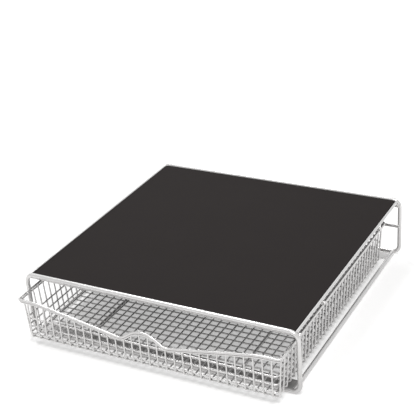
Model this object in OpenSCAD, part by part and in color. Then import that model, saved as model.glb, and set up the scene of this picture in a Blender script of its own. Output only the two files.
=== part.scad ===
// Coffee pod drawer: a wire stand with a flat top for a coffee maker, and a wire mesh
// drawer that slides out of it towards the front. Millimetres.
// X is to the right, Y to the back, Z up. The stand is centred on X = 0 and Y = 0, floor at Z = 0.

/* [Stand] */
// width over the end hoops
stand_w = 344; // [300:1:400]
// depth over the end hoops
stand_d = 328; // [280:1:380]
// height over the end hoops
stand_h = 79; // [70:1:100]
// wire of the two end hoops
hoop_wire = 5.2; // [4:0.1:8]
// bend radius at the hoop corners, on the wire's centre line
hoop_bend = 10; // [8:0.5:16]
// wire of the two top side rails
top_rail_wire = 3.2; // [2.5:0.1:8]
// top side rails set in from the hoop posts, centre to centre
top_rail_inset = 3.2; // [0:0.1:4]
// top of the top side rails below the top of the hoops
top_rail_drop = 2.2; // [0:0.1:2.4]
// wire of the two bottom side rails
bottom_rail_wire = 4.8; // [3:0.1:6]
// bottom side rails set in from the hoop posts, centre to centre
bottom_rail_inset = 7.6; // [5:0.1:9]
// wire of the rear stop
stop_wire = 4; // [3:0.1:6]
// height of the rear stop
stop_z = 42; // [30:1:50]
// bottom side rails above the hoops' bottom wires, centre to centre
bottom_rail_lift = 0.9; // [0:0.1:1]
// ends of the rear stop past the middle of the hoop posts
stop_reach = 1; // [0:0.1:3]
// wire of the two slide rails that the drawer runs on
slide_wire = 3.6; // [2.5:0.1:4]
// slide rails, each from the middle
slide_x = 96; // [60:1:140]
// ends of the slide rails past the middle of the hoops' bottom wires
slide_reach = 1; // [0:0.1:3]
// depth of each base strip
strip_d = 17.4; // [10:0.1:25]
// thickness of each base strip
strip_t = 1.5; // [1:0.1:2]
// top of the base strips below the middle of the hoops' bottom wires
strip_drop = 0.1; // [0:0.1:0.5]

/* [Top panel] */
// non-slip sheet on the board
mat_t = 0.9; // [0.5:0.1:2]
// top of the non-slip sheet below the top of the hoops
top_recess = 2.5; // [1:0.1:4]
// wire of the panel supports and of the wires under the panel's front and back edges
support_wire = 4.8; // [4:0.1:6]
// panel supports, each from the middle
support_y = 90; // [40:1:120]
// play of the panel inside the wires, each side
panel_play = 0.3; // [0.1:0.1:1]

/* [Drawer] */
// how far the drawer stands out of the stand
drawer_out = 29.4; // [1:0.1:230]
// the front of the closed drawer stands out of the front hoop
closed_proud = 1; // [0.5:0.5:5]
// play between the back of the closed drawer and the rear stop
stop_gap = 0.7; // [0.3:0.1:5]
// rim set in from the hoop posts, centre to centre
rim_inset = 7.1; // [6:0.1:15]
// wire of the rim
rim_wire = 2.8; // [2.4:0.1:5]
// height of the rim's centre line at the sides and back
rim_z = 60.9; // [55:0.1:62]
// rim corner radius, on the centre line
rim_bend = 5; // [4:0.5:14]
// lower rim wire below the rim, centre to centre
lower_drop = 2.8; // [2.6:0.1:4]
// slope of the front rim towards the middle, degrees
front_slope = 10; // [4:0.05:11]
// radius where the front rim turns down from its ends, on the centre line
front_shoulder = 100; // [40:1:140]
// flat length at each end of the front rim, before its corners
front_flat = 12; // [0:1:20]
// rise of the pull in the middle of the front rim
pull_h = 12.4; // [10:0.1:18]
// crest radius of the pull, on the centre line
pull_crest = 28; // [15:0.5:32]
// radius of the dips beside the pull, on the centre line
pull_dip = 12; // [6:0.5:14]
// steepest slope of the pull, degrees
pull_slope = 36; // [25:1:45]

/* [Mesh] */
// wire of the mesh
mesh_wire = 1.9; // [1.5:0.1:2.5]
// spacing of the wires that run front to back
long_pitch = 10.42; // [9:0.01:12]
// spacing of the wires that run side to side
cross_pitch = 9.45; // [8:0.01:11]
// bend radius under the walls, on the centre line
mesh_bend = 3; // [2.5:0.1:4]
// lean of the side walls, degrees
side_lean = 4; // [2:0.1:7]
// space between the last wire that runs front to back and the bends under the side wall
long_gap = 2.5; // [1:0.1:6]
// space between the last wire that runs side to side and the bends under the end wall
cross_gap = 2; // [1:0.1:5]
// lowest ring above the bends of the end walls
ring_lift = 1.1; // [0.1:0.1:2]
// spacing of the rings
ring_pitch = 10.3; // [9:0.1:11]
// bend radius at the corners of the rings, on the centre line
ring_bend = 4; // [3:0.5:8]
// ends of the uprights above the middle of the rim
upright_rise = 0.6; // [0.1:0.1:1]
// running gap between the drawer's floor and the slide rails
slide_gap = 0.1; // [0.05:0.05:0.5]

/* [Hidden] */
$fn = 48;
// depth that welded wires of different pieces sink into each other
weld = 0.04;
// depth that the butt welds at the hoops and the strips sink
butt = 0.2;
// depth that the top side rails sink into the hoops' corner bends
rail_butt = 0.6;
// at an oblique join inside one bent wire: space left, and swell of the ball that fills it
joint = 0.03;
swell = 0.02;

// a length to the nearest hundredth, so that the parts of a bent wire meet exactly
function hundredth(v) = round(v * 100) / 100;

// end hoops
post_x = stand_w / 2 - hoop_wire / 2;
hoop_y = stand_d / 2 - hoop_wire / 2;
hoop_in = hoop_y - hoop_wire / 2;
hoop_low = hoop_wire / 2;
hoop_high = stand_h - hoop_wire / 2;

// side rails
top_rail_x = post_x - top_rail_inset;
top_rail_z = stand_h - top_rail_drop - top_rail_wire / 2;
bottom_rail_x = post_x - bottom_rail_inset;
bottom_rail_z = hoop_low + bottom_rail_lift;
strip_top = hoop_low - strip_drop;
strip_x = bottom_rail_x - bottom_rail_wire / 2 + 2 * weld;
stop_y = hoop_in - stop_wire / 2 + butt;
stop_x = post_x + stop_reach;
slide_z = hoop_wire - weld + slide_wire / 2;
slide_y = hoop_y + slide_reach;

// top panel
support_z = top_rail_z - top_rail_wire / 2 - support_wire / 2 + weld;
edge_y = hoop_in - support_wire / 2 + butt;
board_low = support_z + support_wire / 2;
board_high = stand_h - top_recess - mat_t;
panel_x = top_rail_x - top_rail_wire / 2 - panel_play;
panel_y = hoop_in - panel_play;

// rim, with its front in the plane Y = rim_front; closed, it fits between the hoop and the stop
stack = (rim_wire + mesh_wire) / 2 - weld;
rim_x = post_x - rim_inset;
rim_front = -stand_d / 2 + rim_wire / 2 - drawer_out;
rim_back = stop_y - stop_wire / 2 - stop_gap - mesh_wire / 2 + stack - drawer_out + closed_proud;
rim_mid = (rim_front + rim_back) / 2;
flat_x = rim_x - rim_bend;
level_x = flat_x - front_flat;
flank = (pull_h - (pull_crest + pull_dip) * (1 - cos(pull_slope))) / sin(pull_slope);
crest_x = pull_crest * sin(pull_slope);
low_x = crest_x + flank * cos(pull_slope) + pull_dip * sin(pull_slope);
dip_x = low_x + pull_dip * sin(front_slope);
shoulder_x = level_x - front_shoulder * sin(front_slope);
slope_rise = (shoulder_x - dip_x) * tan(front_slope);
low_z = rim_z - (front_shoulder + pull_dip) * (1 - cos(front_slope)) - slope_rise;
crest_z = low_z + pull_h;

// mesh: the front and back uprights stand inside the rim, the rings inside the uprights
wall_front = rim_front + stack;
wall_back = rim_back - stack;
wall_x = rim_x - stack;
cross_z = slide_z + slide_wire / 2 + slide_gap + mesh_wire / 2;
long_z = cross_z + mesh_wire;
bend_x = wall_x - mesh_bend * cos(side_lean)
  - (rim_z - cross_z - mesh_bend * (1 - sin(side_lean))) * tan(side_lean);
ring_z = long_z + mesh_bend + ring_lift;
ring_in = mesh_wire - weld;

// lower rim wire, outside the uprights
lower_in = stack - mesh_wire + weld;
lower_x = hundredth(rim_x - lower_in - lower_drop * tan(side_lean));
lower_bend = lower_x - flat_x;

// rows of wires across the drawer, on the straight of the rim, as a number of spaces
last_x = min(bend_x - long_gap, flat_x);
long_n = round(2 * last_x / long_pitch);
long_step = 2 * last_x / long_n;

// rows of wires along the drawer, each side of the middle
last_y = min((wall_back - wall_front) / 2 - mesh_bend - cross_gap, (rim_back - rim_front) / 2 - rim_bend);
cross_n = round(last_y / cross_pitch);
cross_step = last_y / cross_n;

// height of the front rim's centre line at x from the middle
function front_z(x) = let (a = abs(x))
  a < crest_x ? crest_z - pull_crest + sqrt(pow(pull_crest, 2) - a * a)
  : a < crest_x + flank * cos(pull_slope)
    ? crest_z - pull_crest * (1 - cos(pull_slope)) - (a - crest_x) * tan(pull_slope)
  : a < dip_x ? low_z + pull_dip - sqrt(pow(pull_dip, 2) - pow(a - low_x, 2))
  : a < shoulder_x ? low_z + pull_dip * (1 - cos(front_slope)) + (a - dip_x) * tan(front_slope)
  : a < level_x ? rim_z - front_shoulder + sqrt(pow(front_shoulder, 2) - pow(level_x - a, 2))
  : rim_z;

// half width between the side walls' centre lines at height z
function side_x(z) = wall_x - (rim_z - z) * tan(side_lean);

// round bar along +Z, +Y or +X from the origin
module bar_z(d, l) cylinder(d = d, h = l);
module bar_y(d, l) rotate([-90, 0, 0]) cylinder(d = d, h = l);
module bar_x(d, l) rotate([0, 90, 0]) cylinder(d = d, h = l);

// bar of diameter d bent to radius r in the plane XY, from angle a over b degrees
module bend(d, r, a, b) rotate([0, 0, a]) rotate_extrude(angle = b) translate([r, 0]) circle(d = d);

// the same in the plane XZ
module bend_xz(d, r, a, b) rotate([90, 0, 0]) bend(d, r, a, b);

// closed loop of bar in the plane XY, w by h on the centre line
module loop(d, w, h, r) {
  for (s = [-1, 1]) {
    translate([-w / 2 + r, s * h / 2, 0]) bar_x(d, w - 2 * r);
    translate([s * w / 2, -h / 2 + r, 0]) bar_y(d, h - 2 * r);
  }
  for (q = [[1, 1, 0], [-1, 1, 90], [-1, -1, 180], [1, -1, 270]])
    translate([q[0] * (w / 2 - r), q[1] * (h / 2 - r), 0]) bend(d, r, q[2], 90);
}

module hoop(y) color([0.86, 0.86, 0.85])
  translate([0, y, (hoop_low + hoop_high) / 2]) rotate([90, 0, 0])
    loop(hoop_wire, 2 * post_x, hoop_high - hoop_low, hoop_bend);

module top_rail(s) color([0.86, 0.86, 0.85])
  translate([s * top_rail_x, -hoop_in - rail_butt, top_rail_z])
    bar_y(top_rail_wire, 2 * (hoop_in + rail_butt));

module bottom_rail(s) color([0.86, 0.86, 0.85])
  translate([s * bottom_rail_x, -hoop_in - butt, bottom_rail_z])
    bar_y(bottom_rail_wire, 2 * (hoop_in + butt));

module rear_stop_wire() color([0.86, 0.86, 0.85])
  translate([-stop_x, stop_y, stop_z]) bar_x(stop_wire, 2 * stop_x);

module slide_rail(s) color([0.84, 0.84, 0.84])
  translate([s * slide_x, -slide_y, slide_z]) bar_y(slide_wire, 2 * slide_y);

module base_strip(s) color([0.8, 0.8, 0.8])
  translate([-strip_x, s > 0 ? hoop_in - strip_d : -hoop_in, strip_top - strip_t])
    cube([2 * strip_x, strip_d, strip_t]);

module panel_support(s) color([0.8, 0.8, 0.8])
  translate([-post_x, s * support_y, support_z]) bar_x(support_wire, 2 * post_x);

module edge_wire(s) color([0.8, 0.8, 0.8])
  translate([-post_x, s * edge_y, support_z]) bar_x(support_wire, 2 * post_x);

module top_board() color([0.15, 0.14, 0.14])
  translate([-panel_x, -panel_y, board_low]) cube([2 * panel_x, 2 * panel_y, board_high - board_low]);

module non_slip_mat() color([0.1, 0.09, 0.09])
  translate([-panel_x, -panel_y, board_high]) cube([2 * panel_x, 2 * panel_y, mat_t]);

// straight bar of length l from the origin at an angle to +Z about Y, with a weld at its start
// and, if end is true, at its end
module leg(d, l, angle, end = true) rotate([0, angle, 0]) {
  translate([0, 0, joint]) bar_z(d, l - (end ? 2 : 1) * joint);
  sphere(d = d + swell);
  if (end) translate([0, 0, l]) sphere(d = d + swell);
}

// right half of the wavy front of the rim in a bar of diameter d, in the plane XZ, without the crest
module front_wave(d) {
  translate([crest_x, 0, crest_z - pull_crest * (1 - cos(pull_slope))])
    leg(d, flank, 90 + pull_slope);
  translate([low_x, 0, low_z + pull_dip])
    bend_xz(d, pull_dip, 270 - pull_slope, pull_slope + front_slope);
  translate([dip_x, 0, low_z + pull_dip * (1 - cos(front_slope))])
    leg(d, (shoulder_x - dip_x) / cos(front_slope), 90 - front_slope);
  translate([level_x, 0, rim_z - front_shoulder]) bend_xz(d, front_shoulder, 90, front_slope);
  translate([level_x, 0, rim_z]) leg(d, front_flat, 90);
}

// the rim's loop in a bar of diameter d: half width x, front and back lines, corner radius r
module rim_loop(d, x, front, back, r) {
  translate([0, front, 0]) {
    front_wave(d);
    mirror([1, 0, 0]) front_wave(d);
    translate([0, 0, crest_z - pull_crest]) bend_xz(d, pull_crest, 90 - pull_slope, 2 * pull_slope);
  }
  translate([-flat_x, back, rim_z]) leg(d, 2 * flat_x, 90);
  for (s = [-1, 1]) translate([s * x, front + r, rim_z]) rotate([-90, 0, 0]) leg(d, back - front - 2 * r, 0);
  for (q = [[1, back - r, 0], [-1, back - r, 90], [-1, front + r, 180], [1, front + r, 270]])
    translate([q[0] * flat_x, q[1], rim_z]) bend(d, r, q[2], 90);
}

module drawer_rim() color([0.86, 0.86, 0.85]) rim_loop(rim_wire, rim_x, rim_front, rim_back, rim_bend);

module lower_rim_wire() color([0.84, 0.84, 0.84]) translate([0, 0, -lower_drop])
  rim_loop(mesh_wire, lower_x, rim_front + lower_in, rim_back - lower_in, lower_bend);

// one upright of the front or back wall at x, with its bend into the floor
module upright(x, top) {
  translate([x, 0, long_z + mesh_bend]) bar_z(mesh_wire, top - long_z - mesh_bend);
  translate([x, mesh_bend, long_z + mesh_bend]) rotate([0, -90, 0]) rotate([0, 0, 180])
    bend(mesh_wire, mesh_bend, 0, 90);
}

module front_uprights() color([0.84, 0.84, 0.84])
  translate([0, wall_front, 0]) for (i = [0:long_n]) let (x = i * long_step - last_x)
    upright(x, front_z(x) + upright_rise);

module rear_uprights() color([0.84, 0.84, 0.84])
  translate([0, wall_back, 0]) mirror([0, 1, 0]) for (i = [0:long_n])
    upright(i * long_step - last_x, rim_z + upright_rise);

// the right wall: each upright leans out to the rim
module side_uprights() color([0.84, 0.84, 0.84]) for (j = [-cross_n:cross_n])
  translate([bend_x, rim_mid + j * cross_step, cross_z + mesh_bend]) {
    bend_xz(mesh_wire, mesh_bend, -90, 90 - side_lean);
    translate([mesh_bend * cos(side_lean), 0, -mesh_bend * sin(side_lean)])
      leg(mesh_wire, (rim_z + upright_rise - cross_z - mesh_bend * (1 - sin(side_lean))) / cos(side_lean),
        side_lean, false);
  }

module floor_long_wires() color([0.84, 0.84, 0.84]) for (i = [0:long_n])
  translate([i * long_step - last_x, wall_front + mesh_bend, long_z])
    bar_y(mesh_wire, wall_back - wall_front - 2 * mesh_bend);

module floor_cross_wires() color([0.84, 0.84, 0.84]) for (j = [-cross_n:cross_n])
  translate([-bend_x, rim_mid + j * cross_step, cross_z]) bar_x(mesh_wire, 2 * bend_x);

// ring k of the walls, inside the uprights
module ring(k) color([0.84, 0.84, 0.84]) {
  z = ring_z + k * ring_pitch;
  translate([0, rim_mid, z])
    loop(mesh_wire, 2 * hundredth(side_x(z) - ring_in / cos(side_lean)),
      wall_back - wall_front - 2 * ring_in, ring_bend);
}

module front_hoop() hoop(-hoop_y);
module rear_hoop() hoop(hoop_y);
module left_top_rail() top_rail(-1);
module right_top_rail() top_rail(1);
module left_bottom_rail() bottom_rail(-1);
module right_bottom_rail() bottom_rail(1);
module left_slide_rail() slide_rail(-1);
module right_slide_rail() slide_rail(1);
module front_base_strip() base_strip(-1);
module rear_base_strip() base_strip(1);
module front_panel_support() panel_support(-1);
module rear_panel_support() panel_support(1);
module front_edge_wire() edge_wire(-1);
module rear_edge_wire() edge_wire(1);
module left_uprights() mirror([1, 0, 0]) side_uprights();
module right_uprights() side_uprights();
module lower_ring() ring(0);
module middle_ring() ring(1);
module upper_ring() ring(2);

front_hoop();
rear_hoop();
left_top_rail();
right_top_rail();
left_bottom_rail();
right_bottom_rail();
rear_stop_wire();
left_slide_rail();
right_slide_rail();
front_base_strip();
rear_base_strip();
front_panel_support();
rear_panel_support();
front_edge_wire();
rear_edge_wire();
top_board();
non_slip_mat();
drawer_rim();
lower_rim_wire();
front_uprights();
rear_uprights();
left_uprights();
right_uprights();
floor_long_wires();
floor_cross_wires();
lower_ring();
middle_ring();
upper_ring();
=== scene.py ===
import math
import bpy
import bmesh
from mathutils import Matrix, Vector


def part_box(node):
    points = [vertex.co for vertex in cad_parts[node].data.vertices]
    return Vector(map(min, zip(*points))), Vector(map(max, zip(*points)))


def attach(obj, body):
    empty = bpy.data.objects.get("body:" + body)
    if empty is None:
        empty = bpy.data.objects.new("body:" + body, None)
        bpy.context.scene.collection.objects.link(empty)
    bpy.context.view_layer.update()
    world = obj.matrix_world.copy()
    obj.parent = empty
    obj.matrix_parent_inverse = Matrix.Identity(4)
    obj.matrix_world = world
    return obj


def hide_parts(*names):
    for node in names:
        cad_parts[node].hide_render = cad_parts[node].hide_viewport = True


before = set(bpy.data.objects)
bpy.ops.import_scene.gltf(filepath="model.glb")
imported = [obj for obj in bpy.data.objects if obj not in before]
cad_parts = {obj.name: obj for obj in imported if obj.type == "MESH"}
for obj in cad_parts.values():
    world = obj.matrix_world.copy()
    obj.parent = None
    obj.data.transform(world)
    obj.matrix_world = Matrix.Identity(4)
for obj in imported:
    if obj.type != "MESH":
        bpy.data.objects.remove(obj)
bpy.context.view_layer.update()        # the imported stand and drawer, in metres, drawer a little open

mm = 0.001
standBody = "stand"
drawerBody = "drawer"
scene = bpy.context.scene
print("frame loaded:", len(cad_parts), "nodes")


class Signal:        # a socket that plain arithmetic works on
    def __init__(self, look, socket):
        self.look = look
        self.socket = socket

    def combine(self, operation, first, second):
        return self.look.node("ShaderNodeMath", {"operation": operation}, {0: first, 1: second})

    def __add__(self, other):
        return self.combine("ADD", self, other)

    def __radd__(self, other):
        return self.combine("ADD", other, self)

    def __mul__(self, other):
        return self.combine("MULTIPLY", self, other)

    def __rmul__(self, other):
        return self.combine("MULTIPLY", other, self)


class Look:
    def __init__(self, name):
        self.material = bpy.data.materials.new(name)
        self.material.use_nodes = True
        self.nodes = self.material.node_tree.nodes
        self.links = self.material.node_tree.links
        self.nodes.clear()

    def node(self, kind, settings=None, sockets=None, out=0):
        made = self.nodes.new(kind)
        for key, value in (settings or {}).items():
            setattr(made, key, value)
        for key, value in (sockets or {}).items():
            if isinstance(value, Signal):
                self.links.new(value.socket, made.inputs[key])
            else:
                made.inputs[key].default_value = value
        return Signal(self, made.outputs[out]) if len(made.outputs) else None

    def spot(self):
        return self.node("ShaderNodeTexCoord", out="Object")

    def noise(self, spot, size, detail=2, rough=0.5):
        sockets = {"Vector": spot, "Scale": 1 / size, "Detail": detail, "Roughness": rough}
        return self.node("ShaderNodeTexNoise", None, sockets, out="Fac")

    def blend(self, factor, first, second, mode="MIX"):
        settings = {"data_type": "RGBA", "blend_type": mode}
        return self.node("ShaderNodeMix", settings, {0: factor, 6: first, 7: second}, out=2)

    def bump(self, height, depth, strength):
        return self.node("ShaderNodeBump", None,
                         {"Height": height, "Distance": depth, "Strength": strength}, out="Normal")

    def surface(self, **values):
        sockets = {key.replace("_", " "): value for key, value in values.items()}
        skin = self.node("ShaderNodeBsdfPrincipled", None, sockets, out="BSDF")
        self.node("ShaderNodeOutputMaterial", None, {"Surface": skin})
        return self.material


def tone(colour, shade=1.0):        # a colour as a screen shows it, 0 to 255
    def straight(v):
        v = v * shade / 255
        return v / 12.92 if v < 0.04045 else ((v + 0.055) / 1.055) ** 2.4
    red, green, blue = colour
    return (straight(red), straight(green), straight(blue), 1.0)


coat = {
    "light": (215, 214, 213),
    "dark": (200, 199, 199),
    "cloud": 38 * mm,        # slow drift of the coat's tone along a wire
    "fleck": 0.35 * mm,      # aluminium flake in the coat
    "peel": 1.3 * mm,        # orange peel left by the powder
    "peelDepth": 0.05 * mm,
    "peelStrength": 0.5,
    "mottle": (0.94, 0.12),        # each pair is a lowest value and how much the flake adds
    "metal": (0.7, 0.1),
    "rough": (0.22, 0.08),
    "cloudRough": 0.1,
    # the netting's copy of the coat is painted lighter: painted light for its lit front faces
    "meshPaintedLight": 1.03,
    # the base strips' copy of the coat is painted darker: painted shade from the top above them
    "stripPaintedShade": 0.95,
    "weldShade": 0.93,
}


def silverCoat(name, shade=1.0):
    look = Look(name)
    spot = look.spot()
    cloud = look.noise(spot, coat["cloud"], 3)
    fleck = look.noise(spot, coat["fleck"], 1)
    peel = look.noise(spot, coat["peel"])
    base = look.blend(cloud, tone(coat["dark"], shade), tone(coat["light"], shade))
    pairs = (coat["mottle"], coat["metal"], coat["rough"])
    mottle, metal, rough = [low + more * fleck for low, more in pairs]
    grey = look.node("ShaderNodeCombineColor", None, {0: mottle, 1: mottle, 2: mottle})
    base = look.blend(1.0, base, grey, "MULTIPLY")
    return look.surface(Base_Color=base, Metallic=metal, Roughness=rough + coat["cloudRough"] * cloud,
                        Normal=look.bump(peel, coat["peelDepth"], coat["peelStrength"]))


sheet = {
    "light": (34, 30, 29),
    "dark": (26, 22, 22),
    "grain": 0.9 * mm,
    "grainDepth": 0.12 * mm,
    "grainStrength": 0.6,
    "noiseRough": 0.6,
    "pebbleMelt": 0.6,
    "cloud": 60 * mm,
    "rough": (0.78, 0.12),        # lowest, and how much the grain adds
    "shine": 0.16,
}


def nonSlipSkin():
    look = Look("nonSlipSkin")
    spot = look.spot()
    cloud = look.noise(spot, sheet["cloud"], 4, sheet["noiseRough"])
    grain = look.noise(spot, sheet["grain"], 3, sheet["noiseRough"])
    pebble = look.node("ShaderNodeTexVoronoi", {"feature": "SMOOTH_F1"},
                       {"Vector": spot, "Scale": 1 / sheet["grain"], "Smoothness": sheet["pebbleMelt"]},
                       out="Distance")
    height = 0.5 * pebble + 0.5 * grain
    base = look.blend(0.5 * cloud + 0.5 * grain, tone(sheet["dark"]), tone(sheet["light"]))
    rough, more = sheet["rough"]
    return look.surface(Base_Color=base, Roughness=rough + more * grain, Specular_IOR_Level=sheet["shine"],
                        Normal=look.bump(height, sheet["grainDepth"], sheet["grainStrength"]))


board = {
    "light": (46, 43, 41),
    "dark": (30, 28, 27),
    "fibre": 1.5 * mm,
    "fibreScale": (1.0, 0.15, 1.0),        # the fibres run from front to back
    "fibreDetail": 5,
    "fibreRough": 0.65,
    "fibreDepth": 0.08 * mm,
    "fibreStrength": 0.5,
    "rough": (0.62, 0.2),        # lowest, and how much the fibres add
    "shine": 0.3,
}


def boardPaint():
    look = Look("boardPaint")
    stretched = look.node("ShaderNodeMapping", None, {"Vector": look.spot(), "Scale": board["fibreScale"]})
    fibre = look.noise(stretched, board["fibre"], board["fibreDetail"], board["fibreRough"])
    base = look.blend(fibre, tone(board["dark"]), tone(board["light"]))
    rough, more = board["rough"]
    return look.surface(Base_Color=base, Roughness=rough + more * fibre, Specular_IOR_Level=board["shine"],
                        Normal=look.bump(fibre, board["fibreDepth"], board["fibreStrength"]))


wireCoat = silverCoat("wireCoat")
# a lighter copy of the same coat, painted light on the netting
meshCoat = silverCoat("meshCoat", coat["meshPaintedLight"])
# a darker copy of the same coat, painted shade on the base strips
stripCoat = silverCoat("stripCoat", coat["stripPaintedShade"])
weldCoat = silverCoat("weldCoat", coat["weldShade"])
padSkin = nonSlipSkin()
boardSkin = boardPaint()
print("finishes made")


def newTree(name, numbers, whole):
    tree = bpy.data.node_groups.new(name, "GeometryNodeTree")
    tree.interface.new_socket("Geometry", in_out="INPUT", socket_type="NodeSocketGeometry")
    for label, value in numbers.items():
        socket = tree.interface.new_socket(label, in_out="INPUT", socket_type="NodeSocketFloat")
        socket.default_value = value
    for label in whole:
        tree.interface.new_socket(label, in_out="INPUT", socket_type="NodeSocketInt")
    tree.interface.new_socket("Coat", in_out="INPUT", socket_type="NodeSocketMaterial")
    tree.interface.new_socket("Geometry", in_out="OUTPUT", socket_type="NodeSocketGeometry")
    return tree


def addNode(tree, kind, sockets=None, settings=None):
    made = tree.nodes.new(kind)
    for key, value in (settings or {}).items():
        setattr(made, key, value)
    for key, value in (sockets or {}).items():
        if isinstance(value, bpy.types.NodeSocket):
            tree.links.new(value, made.inputs[key])
        else:
            made.inputs[key].default_value = value
    return made.outputs


def bentWireTree():        # rounds the corners of a skeleton and gives it thickness
    tree = newTree("bentWire", {"Thickness": 4 * mm}, ["Sides", "Bend Steps"])
    given = addNode(tree, "NodeGroupInput")
    path = addNode(tree, "GeometryNodeMeshToCurve", {"Mesh": given["Geometry"]})["Curve"]
    bend = addNode(tree, "GeometryNodeInputNamedAttribute", {"Name": "bend"}, {"data_type": "FLOAT"})
    path = addNode(tree, "GeometryNodeFilletCurve",
                   {"Curve": path, "Count": given["Bend Steps"], "Radius": bend["Attribute"]},
                   {"mode": "POLY"})["Curve"]
    radius = addNode(tree, "ShaderNodeMath", {0: given["Thickness"], 1: 0.5}, {"operation": "MULTIPLY"})
    ring = addNode(tree, "GeometryNodeCurvePrimitiveCircle",
                   {"Resolution": given["Sides"], "Radius": radius[0]})["Curve"]
    wire = addNode(tree, "GeometryNodeCurveToMesh",
                   {"Curve": path, "Profile Curve": ring, "Fill Caps": True})["Mesh"]
    wire = addNode(tree, "GeometryNodeSetShadeSmooth", {"Geometry": wire})["Geometry"]
    wire = addNode(tree, "GeometryNodeRealizeInstances", {"Geometry": wire})["Geometry"]
    wire = addNode(tree, "GeometryNodeSetMaterial", {"Geometry": wire, "Material": given["Coat"]})
    addNode(tree, "NodeGroupOutput", {"Geometry": wire["Geometry"]})
    return tree


def weldBeadTree():
    tree = newTree("weldBead", {"Unevenness": 0.2}, ["Fineness", "Seed"])
    given = addNode(tree, "NodeGroupInput")
    bead = addNode(tree, "GeometryNodeMeshIcoSphere",
                   {"Radius": 1.0, "Subdivisions": given["Fineness"]})["Mesh"]
    size = addNode(tree, "GeometryNodeInputNamedAttribute", {"Name": "size"}, {"data_type": "FLOAT_VECTOR"})
    low = addNode(tree, "ShaderNodeMath", {0: 1.0, 1: given["Unevenness"]}, {"operation": "SUBTRACT"})
    high = addNode(tree, "ShaderNodeMath", {0: 1.0, 1: given["Unevenness"]}, {"operation": "ADD"})
    pick = addNode(tree, "FunctionNodeRandomValue", {2: low[0], 3: high[0], "Seed": given["Seed"]},
                   {"data_type": "FLOAT"})
    scale = addNode(tree, "ShaderNodeVectorMath", {0: size["Attribute"], "Scale": pick[1]},
                    {"operation": "SCALE"})
    beads = addNode(tree, "GeometryNodeInstanceOnPoints",
                    {"Points": given["Geometry"], "Instance": bead, "Scale": scale["Vector"]})["Instances"]
    beads = addNode(tree, "GeometryNodeRealizeInstances", {"Geometry": beads})["Geometry"]
    beads = addNode(tree, "GeometryNodeSetShadeSmooth", {"Geometry": beads})["Geometry"]
    beads = addNode(tree, "GeometryNodeSetMaterial", {"Geometry": beads, "Material": given["Coat"]})
    addNode(tree, "NodeGroupOutput", {"Geometry": beads["Geometry"]})
    return tree


bentWire = bentWireTree()
weldBead = weldBeadTree()


def grow(name, start, tree, values, body, stands=()):
    rough = bpy.data.objects.new(name + "Start", start)
    scene.collection.objects.link(rough)
    modifier = rough.modifiers.new("grow", "NODES")
    modifier.node_group = tree
    for item in tree.interface.items_tree:
        if item.in_out == "INPUT" and item.name in values:
            modifier[item.identifier] = values[item.name]
    bpy.context.view_layer.update()
    ready = rough.evaluated_get(bpy.context.evaluated_depsgraph_get())
    mesh = bpy.data.meshes.new_from_object(ready)
    mesh.name = name
    piece = bpy.data.objects.new(name, mesh)
    scene.collection.objects.link(piece)
    bpy.data.objects.remove(rough)
    return place(piece, body, stands)


def place(piece, body, stands=()):
    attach(piece, body)
    if stands:
        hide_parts(*stands)
    return piece


def skeleton(runs, closed=False):        # each run is a list of (point, bend radius)
    mesh = bpy.data.meshes.new("skeleton")
    points, edges, bends = [], [], []
    for run in runs:
        first = len(points)
        points += [p for p, r in run]
        bends += [r for p, r in run]
        edges += [(first + n, first + n + 1) for n in range(len(run) - 1)]
        if closed:
            edges.append((first + len(run) - 1, first))
    mesh.from_pydata(points, edges, [])
    mesh.attributes.new("bend", "FLOAT", "POINT").data.foreach_set("value", bends)
    return mesh


def makeWire(name, runs, thick, coatUsed, body, stands, sides, steps, closed=False):
    values = {"Thickness": thick, "Sides": sides, "Bend Steps": steps, "Coat": coatUsed}
    return grow(name, skeleton(runs, closed), bentWire, values, body, stands)


def middleOf(node):
    low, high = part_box(node)
    return (low + high) / 2


def straightRun(node):        # the centre line of a CAD bar and its thickness
    low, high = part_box(node)
    size = high - low
    along = max(range(3), key=lambda n: size[n])
    thick = min(size)
    start = middleOf(node)
    end = start.copy()
    start[along] = low[along]
    end[along] = high[along]
    return [(start, 0.0), (end, 0.0)], thick


stand = {
    "hoopBend": 10 * mm,
    "hoopSides": 28,
    "hoopSteps": 12,
    "railSides": 24,
    "railSteps": 10,
}


def hoopRun(node):
    low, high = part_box(node)
    thick = high.y - low.y
    half = thick / 2
    y = middleOf(node).y
    corners = [(low.x + half, low.z + half), (high.x - half, low.z + half),
               (high.x - half, high.z - half), (low.x + half, high.z - half)]
    return [(Vector((x, y, z)), stand["hoopBend"]) for x, z in corners], thick


for name, node in (("frontHoop", "front_hoop"), ("rearHoop", "rear_hoop")):
    run, thick = hoopRun(node)
    makeWire(name, [run], thick, wireCoat, standBody, [node],
             stand["hoopSides"], stand["hoopSteps"], closed=True)

for name, node in (("leftTopRail", "left_top_rail"), ("rightTopRail", "right_top_rail"),
                   ("leftBottomRail", "left_bottom_rail"), ("rightBottomRail", "right_bottom_rail"),
                   ("leftSlideRail", "left_slide_rail"), ("rightSlideRail", "right_slide_rail"),
                   ("rearStopWire", "rear_stop_wire"), ("frontPanelSupport", "front_panel_support"),
                   ("rearPanelSupport", "rear_panel_support"), ("frontEdgeWire", "front_edge_wire"),
                   ("rearEdgeWire", "rear_edge_wire")):
    run, thick = straightRun(node)
    makeWire(name, [run], thick, wireCoat, standBody, [node],
             stand["railSides"], stand["railSteps"])
print("stand wires made")


slabs = {
    "sheetRounding": (3 * mm, 0.35 * mm),        # each pair is the corner radius and the edge's bevel
    "boardRounding": (2.5 * mm, 0.3 * mm),
    "stripRounding": (0.6 * mm, 0.4 * mm),
    "cornerSteps": 6,
    "edgeSteps": 3,
    "edgeProfile": 0.6,
}


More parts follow.
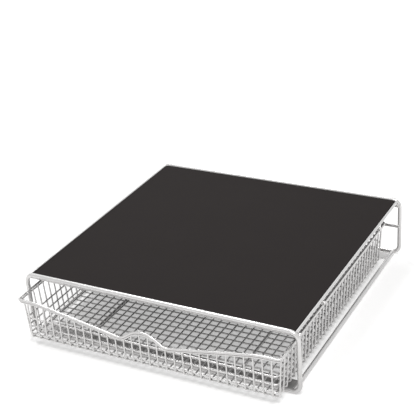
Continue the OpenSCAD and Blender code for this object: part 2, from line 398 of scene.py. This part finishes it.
def roundedSlab(name, node, rounding, coatUsed):
    low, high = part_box(node)
    corner, edge = rounding
    shell = bmesh.new()
    ring = []
    for cx, cy, turn in ((high.x - corner, high.y - corner, 0), (low.x + corner, high.y - corner, 90),
                         (low.x + corner, low.y + corner, 180), (high.x - corner, low.y + corner, 270)):
        for step in range(slabs["cornerSteps"] + 1):
            angle = math.radians(turn + 90 * step / slabs["cornerSteps"])
            ring.append((cx + corner * math.cos(angle), cy + corner * math.sin(angle)))
    bottom = [shell.verts.new((x, y, low.z)) for x, y in ring]
    top = [shell.verts.new((x, y, high.z)) for x, y in ring]
    shell.faces.new(top)
    shell.faces.new(bottom[::-1])
    for n in range(len(ring)):
        m = (n + 1) % len(ring)
        shell.faces.new((bottom[n], bottom[m], top[m], top[n]))
    rims = [e for e in shell.edges if abs(e.verts[0].co.z - e.verts[1].co.z) < 1e-7]
    bmesh.ops.bevel(shell, geom=rims, offset=edge, segments=slabs["edgeSteps"],
                    profile=slabs["edgeProfile"], affect="EDGES")
    bmesh.ops.recalc_face_normals(shell, faces=shell.faces)
    mesh = bpy.data.meshes.new(name)
    shell.to_mesh(mesh)
    shell.free()
    mesh.materials.append(coatUsed)
    for face in mesh.polygons:
        face.use_smooth = len(face.vertices) == 4
    piece = bpy.data.objects.new(name, mesh)
    scene.collection.objects.link(piece)
    return place(piece, standBody, [node])


roundedSlab("nonSlipSheet", "non_slip_mat", slabs["sheetRounding"], padSkin)
roundedSlab("topBoard", "top_board", slabs["boardRounding"], boardSkin)
roundedSlab("frontBaseStrip", "front_base_strip", slabs["stripRounding"], stripCoat)
roundedSlab("rearBaseStrip", "rear_base_strip", slabs["stripRounding"], stripCoat)
print("top and strips made")


rim = {
    "thick": 2.8 * mm,
    "corner": 5 * mm,
    "flat": 12 * mm,        # level stretch at each end of the front
    "shoulder": 100 * mm,
    "slope": math.radians(10),
    "pullSlope": math.radians(36),
    "pullHeight": 12.4 * mm,
    "crest": 28 * mm,
    "dip": 12 * mm,
    "sides": 20,
    "lowerSides": 16,
    "steps": 14,
}
rimLow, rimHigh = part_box("drawer_rim")
rimX = rimHigh.x - rim["thick"] / 2
rimFront = rimLow.y + rim["thick"] / 2
rimZ = rimHigh.z - rim["thick"] / 2
lowZ = rimLow.z + rim["thick"] / 2
flatX = rimX - rim["corner"]


def waveHalf():        # corner points of the right half of the rim's front, from the middle outwards
    slope, steep = rim["slope"], rim["pullSlope"]
    apexZ = lowZ + rim["pullHeight"] + rim["crest"] * (1 / math.cos(steep) - 1)
    shoulderX = flatX - rim["flat"] - rim["shoulder"] * math.tan(slope / 2)
    # where the falling line from the shoulder meets the line down from the apex
    dipX = (apexZ - rimZ + shoulderX * math.tan(slope)) / (math.tan(steep) + math.tan(slope))
    dipZ = apexZ - dipX * math.tan(steep)
    return [(0.0, apexZ, rim["crest"]), (dipX, dipZ, rim["dip"]), (shoulderX, rimZ, rim["shoulder"])]


def rimRun(node, thick):        # the wavy loop through a node's box
    low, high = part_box(node)
    x, z = high.x - thick / 2, high.z - thick / 2
    front, back = low.y + thick / 2, high.y - thick / 2
    half = waveHalf()
    wave = [(-across, up, bend) for across, up, bend in half[:0:-1]] + half
    run = [(Vector((across, front, up - rimZ + z)), bend) for across, up, bend in wave]
    corners = ((x, front), (x, back), (-x, back), (-x, front))
    return run + [(Vector((across, along, z)), x - flatX) for across, along in corners]


makeWire("drawerRim", [rimRun("drawer_rim", rim["thick"])], rim["thick"], wireCoat, drawerBody,
         ["drawer_rim"], rim["sides"], rim["steps"], closed=True)

netting = {
    "thick": 1.9 * mm,
    "bend": 3 * mm,
    "ringBend": 4 * mm,
    "longCount": 30,
    "crossCount": 33,
    "lean": math.radians(4),
    "sides": 10,
    "steps": 5,
    "ringSteps": 6,
}
makeWire("lowerRimWire", [rimRun("lower_rim_wire", netting["thick"])], netting["thick"], meshCoat,
         drawerBody, ["lower_rim_wire"], rim["lowerSides"], rim["steps"], closed=True)
print("rim made")

halfWire = netting["thick"] / 2
frontLow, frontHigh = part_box("front_uprights")
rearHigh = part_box("rear_uprights")[1]
sideLow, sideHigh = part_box("right_uprights")
wallFront = frontLow.y + halfWire
wallBack = rearHigh.y - halfWire
longZ = frontLow.z + halfWire
crossZ = sideLow.z + halfWire
sideTop = sideHigh.z - halfWire * math.sin(netting["lean"])


def row(low, high, count):
    first, last = low + halfWire, high - halfWire
    return [first + (last - first) * n / (count - 1) for n in range(count)]


longXs = row(frontLow.x, frontHigh.x, netting["longCount"])
crossYs = row(sideLow.y, sideHigh.y, netting["crossCount"])
wallX = rimX - (wallFront - rimFront)        # the side uprights stand as far inside the rim
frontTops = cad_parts["front_uprights"].data.vertices


def frontTop(x):
    return max(v.co.z for v in frontTops if abs(v.co.x - x) < 2 * halfWire)


def wallAt(z):        # half width between the side walls at height z
    return wallX - (rimZ - z) * math.tan(netting["lean"])


def tub(ends):        # a wire up one wall, across the floor and up the other, as four points
    bends = (0.0, netting["bend"], netting["bend"], 0.0)
    return [(Vector(end), bend) for end, bend in zip(ends, bends)]


longRuns = [tub([(x, wallFront, frontTop(x)), (x, wallFront, longZ), (x, wallBack, longZ),
                 (x, wallBack, rearHigh.z)]) for x in longXs]
crossRuns = [tub([(-wallAt(sideTop), y, sideTop), (-wallAt(crossZ), y, crossZ), (wallAt(crossZ), y, crossZ),
                  (wallAt(sideTop), y, sideTop)]) for y in crossYs]
makeWire("longWires", longRuns, netting["thick"], meshCoat, drawerBody,
         ["front_uprights", "floor_long_wires", "rear_uprights"], netting["sides"], netting["steps"])
makeWire("crossWires", crossRuns, netting["thick"], meshCoat, drawerBody,
         ["left_uprights", "floor_cross_wires", "right_uprights"], netting["sides"], netting["steps"])

ringZs = []
for name, node in (("lowerRing", "lower_ring"), ("middleRing", "middle_ring"), ("upperRing", "upper_ring")):
    low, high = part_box(node)
    z = middleOf(node).z
    ringZs.append(z)
    corners = ((high.x - halfWire, low.y + halfWire), (high.x - halfWire, high.y - halfWire),
               (low.x + halfWire, high.y - halfWire), (low.x + halfWire, low.y + halfWire))
    run = [(Vector((x, y, z)), netting["ringBend"]) for x, y in corners]
    makeWire(name, [run], netting["thick"], meshCoat, drawerBody, [node],
             netting["sides"], netting["ringSteps"], closed=True)
print("netting made:", len(longXs), "x", len(crossYs), "wires")


def makeBeads(name, beads, given, body):        # each bead is (point, (x, y, z) radii)
    mesh = bpy.data.meshes.new("beadSpots")
    mesh.from_pydata([p for p, s in beads], [], [])
    flat = [c for p, s in beads for c in s]
    mesh.attributes.new("size", "FLOAT_VECTOR", "POINT").data.foreach_set("vector", flat)
    values = {"Unevenness": given["unevenness"], "Fineness": given["fineness"], "Seed": given["seed"],
              "Coat": weldCoat}
    return grow(name, mesh, weldBead, values, body)


welds = {
    "cross": 0.85 * mm,
    "crossThin": 0.62 * mm,
    "rim": 1.0 * mm,
    "rise": 0.6 * mm,        # ends of the uprights above the middle of the rim
    "unevenness": 0.18,
    "fineness": 2,
    "seed": 7,
}
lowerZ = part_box("lower_rim_wire")[1].z - halfWire
wide, thin, big = welds["cross"], welds["crossThin"], welds["rim"]
beads = [((x, y, (longZ + crossZ) / 2), (wide, wide, thin)) for x in longXs for y in crossYs]
for z in ringZs:
    beads += [((x, y, z), (wide, thin, wide))
              for x in longXs for y in (wallFront + halfWire, wallBack - halfWire)]
    beads += [((side * (wallAt(z) - halfWire), y, z), (thin, wide, wide))
              for side in (-1, 1) for y in crossYs]
for drop, size in ((0.0, big), (rimZ - lowerZ, wide)):
    beads += [((x, wallFront - halfWire, frontTop(x) - welds["rise"] - drop), (size, thin, size))
              for x in longXs]
    beads += [((x, wallBack + halfWire, rimZ - drop), (size, thin, size)) for x in longXs]
    beads += [((side * (wallAt(rimZ - drop) + halfWire), y, rimZ - drop), (thin, size, size))
              for side in (-1, 1) for y in crossYs]
makeBeads("nettingWelds", beads, welds, drawerBody)

standWelds = {
    "railShift": 0.2 * mm,        # off the hoop and down the rail's end
    "railDepth": 1.1 * mm,
    "railLess": 0.1 * mm,        # how much flatter than the rail
    "slide": (1.5 * mm, 1.7 * mm, 0.8 * mm),
    "stop": (1.8 * mm, 0.9 * mm, 1.7 * mm),
    "support": (1.6 * mm, 1.8 * mm, 0.9 * mm),
    "edge": (1.9 * mm, 0.9 * mm, 1.9 * mm),
    "edgeInset": 0.5 * mm,
    "unevenness": 0.06,
    "fineness": 2,
    "seed": 3,
}


def bothSides(x, y, z, radii):
    return [((side * x, y, z), radii) for side in (-1, 1)]


def standBeads():
    made = []
    shift = standWelds["railShift"]
    for hoop, toward in (("front_hoop", 1), ("rear_hoop", -1)):
        low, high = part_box(hoop)
        face = high.y if toward > 0 else low.y
        for rail in ("left_top_rail", "right_top_rail", "left_bottom_rail", "right_bottom_rail"):
            railLow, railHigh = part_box(rail)
            middle = middleOf(rail)
            r = (railHigh.x - railLow.x) / 2
            made.append(((middle.x, face + toward * shift, middle.z - shift),
                         (r, standWelds["railDepth"], r - standWelds["railLess"])))
    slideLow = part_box("right_slide_rail")[0]
    for hoop in ("front_hoop", "rear_hoop"):
        made += bothSides(middleOf("right_slide_rail").x, middleOf(hoop).y, slideLow.z, standWelds["slide"])
    hoopLow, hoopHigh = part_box("rear_hoop")
    postX = hoopHigh.x - (hoopHigh.y - hoopLow.y) / 2
    made += bothSides(postX, hoopLow.y, middleOf("rear_stop_wire").z, standWelds["stop"])
    for support in ("front_panel_support", "rear_panel_support"):
        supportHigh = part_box(support)[1]
        made += bothSides(middleOf("right_top_rail").x, middleOf(support).y, supportHigh.z,
                          standWelds["support"])
    for edge, hoopSide in (("front_edge_wire", 0), ("rear_edge_wire", 1)):        # the side at the hoop
        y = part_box(edge)[hoopSide].y
        made += bothSides(postX - standWelds["edgeInset"], y, middleOf(edge).z, standWelds["edge"])
    return made


makeBeads("standWelds", standBeads(), standWelds, standBody)
print("welds made:", len(beads), "in the netting")


studio = {
    "floorSize": 6.0,
    "floorTone": (0.8, 0.797, 0.793, 1.0),
    "floorGlow": 0.42,        # near the object, so that its shadow stays
    "farGlow": 1.0,
    "whiteFrom": 0.3,        # the glow rises from one to the other between these distances
    "whiteTo": 0.75,
    "worldTone": (1.0, 1.0, 1.0, 1.0),
    "worldLevel": 0.3,
    "seenLevel": 1.0,        # for the camera and reflections
    "lampSize": 0.5,
    "lampAim": (0, 0, 0.03),
    "lamps": {"keyLamp": ((0.5, -0.6, 1.4), 12), "backLamp": ((-0.5, 0.45, 1.3), 11)},
}


def makeFloor():
    side = studio["floorSize"] / 2
    mesh = bpy.data.meshes.new("floor")
    mesh.from_pydata([(-side, -side, 0), (side, -side, 0), (side, side, 0), (-side, side, 0)],
                     [], [(0, 1, 2, 3)])
    look = Look("paleFloor")
    matte = look.node("ShaderNodeBsdfDiffuse", None, {"Color": studio["floorTone"]})
    away = look.node("ShaderNodeVectorMath", {"operation": "LENGTH"}, {0: look.spot()}, out="Value")
    glow = look.node("ShaderNodeMapRange", None,
                     {"Value": away, "From Min": studio["whiteFrom"], "From Max": studio["whiteTo"],
                      "To Min": studio["floorGlow"], "To Max": studio["farGlow"]})
    direct = look.node("ShaderNodeLightPath", out="Is Camera Ray")
    mirrored = look.node("ShaderNodeLightPath", out="Is Glossy Ray")
    seen = direct + mirrored
    lift = look.node("ShaderNodeEmission", None, {"Strength": glow * seen})
    both = look.node("ShaderNodeAddShader", None, {0: matte, 1: lift})
    look.node("ShaderNodeOutputMaterial", None, {"Surface": both})
    mesh.materials.append(look.material)
    floor = bpy.data.objects.new("floor", mesh)
    scene.collection.objects.link(floor)


def makeWorld():
    world = bpy.data.worlds.new("studio")
    world.use_nodes = True
    nodes, links = world.node_tree.nodes, world.node_tree.links
    nodes.clear()
    ray = nodes.new("ShaderNodeLightPath")
    plain = nodes.new("ShaderNodeBackground")
    plain.inputs["Color"].default_value = studio["worldTone"]
    plain.inputs["Strength"].default_value = studio["worldLevel"]
    seen = nodes.new("ShaderNodeBackground")
    seen.inputs["Color"].default_value = studio["worldTone"]
    seen.inputs["Strength"].default_value = studio["seenLevel"]
    mix = nodes.new("ShaderNodeMixShader")
    end = nodes.new("ShaderNodeOutputWorld")
    seenBy = nodes.new("ShaderNodeMath")
    links.new(ray.outputs["Is Camera Ray"], seenBy.inputs[0])
    links.new(ray.outputs["Is Glossy Ray"], seenBy.inputs[1])
    links.new(seenBy.outputs[0], mix.inputs[0])
    links.new(plain.outputs[0], mix.inputs[1])
    links.new(seen.outputs[0], mix.inputs[2])
    links.new(mix.outputs[0], end.inputs["Surface"])
    scene.world = world


def addLamp(name, spot, power):
    lamp = bpy.data.lights.new(name, "AREA")
    lamp.shape = "SQUARE"
    lamp.size = studio["lampSize"]
    lamp.energy = power
    light = bpy.data.objects.new(name, lamp)
    scene.collection.objects.link(light)
    light.location = spot
    light.rotation_euler = (Vector(studio["lampAim"]) - Vector(spot)).to_track_quat("-Z", "Y").to_euler()


makeFloor()
makeWorld()
for name, (spot, power) in studio["lamps"].items():
    addLamp(name, spot, power)

view = {
    "eye": (0.543813, -0.997937, 0.678115),
    "aim": (-0.022482, 0.018386, 0.098384),
    "roll": math.radians(-4.2042),
    "lens": 91.8815,
    "sensor": 36,
    "nearest": 0.01,
}


def makeCamera():
    lens = bpy.data.cameras.new("camera")
    lens.lens = view["lens"]
    lens.sensor_width = view["sensor"]
    lens.clip_start = view["nearest"]
    camera = bpy.data.objects.new("camera", lens)
    scene.collection.objects.link(camera)
    look = (Vector(view["aim"]) - Vector(view["eye"])).to_track_quat("-Z", "Y").to_matrix().to_4x4()
    camera.matrix_world = Matrix.Translation(view["eye"]) @ look @ Matrix.Rotation(view["roll"], 4, "Z")
    scene.camera = camera


makeCamera()
scene.view_settings.view_transform = "Standard"
print("floor, light and camera made")
